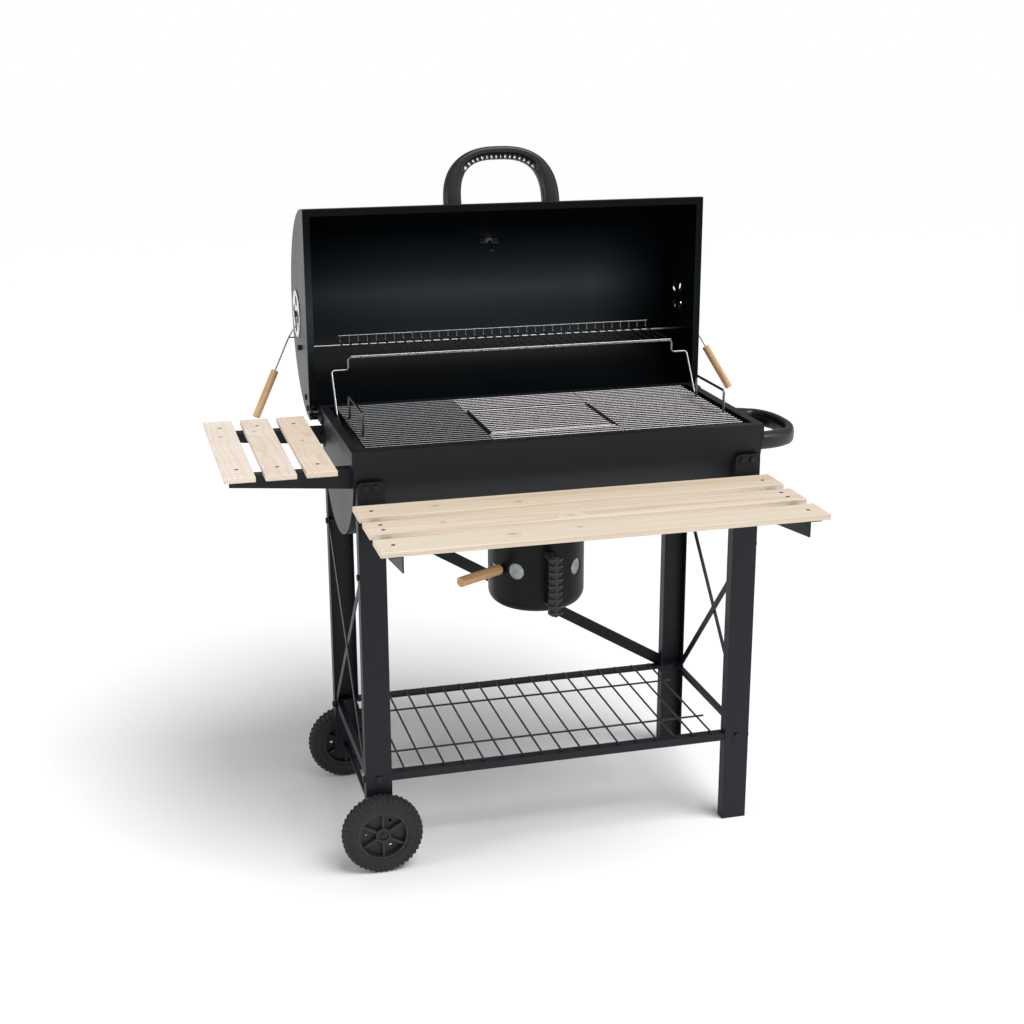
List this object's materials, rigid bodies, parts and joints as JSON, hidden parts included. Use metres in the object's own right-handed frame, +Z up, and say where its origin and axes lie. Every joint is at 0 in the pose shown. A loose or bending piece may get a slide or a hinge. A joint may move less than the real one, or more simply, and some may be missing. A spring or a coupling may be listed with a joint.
{
  "type": "barrel charcoal grill",
  "caption": "Half-barrel charcoal grill with hinged lid, lid-driven warming rack, lift-out grates, ash cup, wooden shelves and a wheeled stand.",
  "frame": {"origin": "bottom centre of the whole object, on the floor, lid open", "axes": "+X along the barrel, away from the wheels; +Y towards the back, where the lid hangs; +Z up"},
  "size_m": [1.1422, 0.8891, 1.3137],
  "materials": {
    "black_steel": "satin black powder coat",
    "chrome": "bright chrome wire",
    "zinc": "zinc plated",
    "wood_slat": "planed pale pine",
    "wood_dowel": "turned hardwood",
    "black_plastic": "ribbed black plastic",
    "hub_plastic": "moulded black plastic",
    "tyre": "solid black tread",
    "dark_bolt": "blackened steel",
    "dial_white": "printed face",
    "needle_red": "red paint",
    "glass": "clear",
    "grate_iron": "bare steel wire"
  },
  "bodies": {
    "stand": {"bowl_shell": "black_steel", "bowl_end_left": "black_steel", "bowl_end_right": "black_steel", "grate_rests": "black_steel", "hinge_brackets": "black_steel", "hinge_pins": "zinc", "side_handle": "black_plastic", "ash_collar": "black_steel", "leg_front_left": "black_steel", "leg_front_right": "black_steel", "leg_rear_left": "black_steel", "leg_rear_right": "black_steel", "shelf_rails": "black_steel", "side_rails": "black_steel", "shelf_grid": "black_steel", "side_braces": "black_steel", "rear_brace": "black_steel", "wheel_axle": "zinc", "axle_caps": "black_plastic", "shelf_slat_rear": "wood_slat", "shelf_slat_middle": "wood_slat", "shelf_slat_front": "wood_slat", "table_slat_inner": "wood_slat", "table_slat_middle": "wood_slat", "table_slat_outer": "wood_slat", "shelf_brackets": "black_steel", "table_brackets": "black_steel", "slat_screws": "dark_bolt", "frame_bolts": "dark_bolt"},
    "lid": {"lid_shell": "black_steel", "lid_end_left": "black_steel", "lid_end_right": "black_steel", "lid_hinge_plates": "black_steel", "lid_handle": "black_plastic", "lid_bolts": "zinc", "thermometer_case": "chrome", "thermometer_dial": "dial_white", "thermometer_glass": "glass", "thermometer_nut": "zinc"},
    "needle": {"thermometer_needle": "needle_red"},
    "vent_left": {"vent_disc_left": "chrome", "vent_grip_left": "wood_dowel"},
    "vent_right": {"vent_disc_right": "chrome", "vent_grip_right": "wood_dowel"},
    "warming_rack": {"warming_rack": "chrome", "rack_end_caps": "black_plastic"},
    "rack_legs": {"rack_legs": "chrome"},
    "wheel_front": {"wheel_hub_front": "hub_plastic", "tyre_front": "tyre"},
    "wheel_rear": {"wheel_hub_rear": "hub_plastic", "tyre_rear": "tyre"},
    "ash_cup": {"ash_cup": "black_steel", "ash_cup_handle": "black_plastic"},
    "damper": {"ash_damper_ring": "zinc", "damper_grip": "wood_dowel"},
    "grate_left": {"grate_left": "chrome"},
    "grate_right": {"grate_right": "chrome"},
    "grate_middle": {"grate_middle": "chrome"},
    "grate_insert": {"grate_insert": "chrome"},
    "charcoal_grate": {"charcoal_grate": "grate_iron"}
  },
  "joints": [
    {"name": "lid_hinge", "type": "hinge", "parent": "stand", "child": "lid", "pos_m": [0.05187, 0.2288, 0.80425], "axis": [1, 0, 0], "range_deg": [0, 90]},
    {"name": "rack_pivot", "type": "hinge", "parent": "lid", "child": "warming_rack", "pos_m": [0.05187, 0.3298, 0.91825], "axis": [1, 0, 0], "range_deg": [-90, 0]},
    {"name": "rack_leg_swing", "type": "hinge", "parent": "stand", "child": "rack_legs", "pos_m": [0.05187, 0.0998, 0.80385], "axis": [1, 0, 0], "range_deg": [0, 90]},
    {"name": "vent_left_turn", "type": "hinge", "parent": "lid", "child": "vent_left", "pos_m": [0.05187, 0.36805, 0.981], "axis": [1, 0, 0], "range_deg": [-10, 35]},
    {"name": "vent_right_turn", "type": "hinge", "parent": "lid", "child": "vent_right", "pos_m": [0.05187, 0.36805, 0.981], "axis": [1, 0, 0], "range_deg": [-10, 35]},
    {"name": "needle_turn", "type": "hinge", "parent": "lid", "child": "needle", "pos_m": [0.05187, 0.40693, 1.1163], "axis": [0, 0.8192, 0.5736], "range_deg": [0, 240]},
    {"name": "wheel_front_spin", "type": "hinge", "parent": "stand", "child": "wheel_front", "pos_m": [-0.31133, -0.17765, 0.0775], "axis": [0, 1, 0], "continuous": true},
    {"name": "wheel_rear_spin", "type": "hinge", "parent": "stand", "child": "wheel_rear", "pos_m": [-0.31133, 0.24975, 0.0775], "axis": [0, 1, 0], "continuous": true},
    {"name": "ash_cup_drop", "type": "slide", "parent": "stand", "child": "ash_cup", "axis": [0, 0, 1], "range_m": [-0.12, 0]},
    {"name": "damper_turn", "type": "hinge", "parent": "ash_cup", "child": "damper", "pos_m": [0.05187, 0.03605, 0.527], "axis": [0, 0, 1], "range_deg": [-22, 0]},
    {"name": "grate_left_lift", "type": "slide", "parent": "stand", "child": "grate_left", "axis": [0, 0, 1], "range_m": [0, 0.03]},
    {"name": "grate_middle_lift", "type": "slide", "parent": "stand", "child": "grate_middle", "axis": [0, 0, 1], "range_m": [0, 0.03]},
    {"name": "grate_right_lift", "type": "slide", "parent": "stand", "child": "grate_right", "axis": [0, 0, 1], "range_m": [0, 0.03]},
    {"name": "grate_insert_lift", "type": "slide", "parent": "grate_middle", "child": "grate_insert", "axis": [0, 0, 1], "range_m": [0, 0.03]},
    {"name": "charcoal_grate_lift", "type": "slide", "parent": "stand", "child": "charcoal_grate", "axis": [0, 0, 1], "range_m": [0, 0.04]}
  ],
  "couplings": [
    {"joint": "rack_pivot", "follows": "lid_hinge", "ratio": -1},
    {"joint": "rack_leg_swing", "follows": "lid_hinge", "ratio": 1}
  ]
}
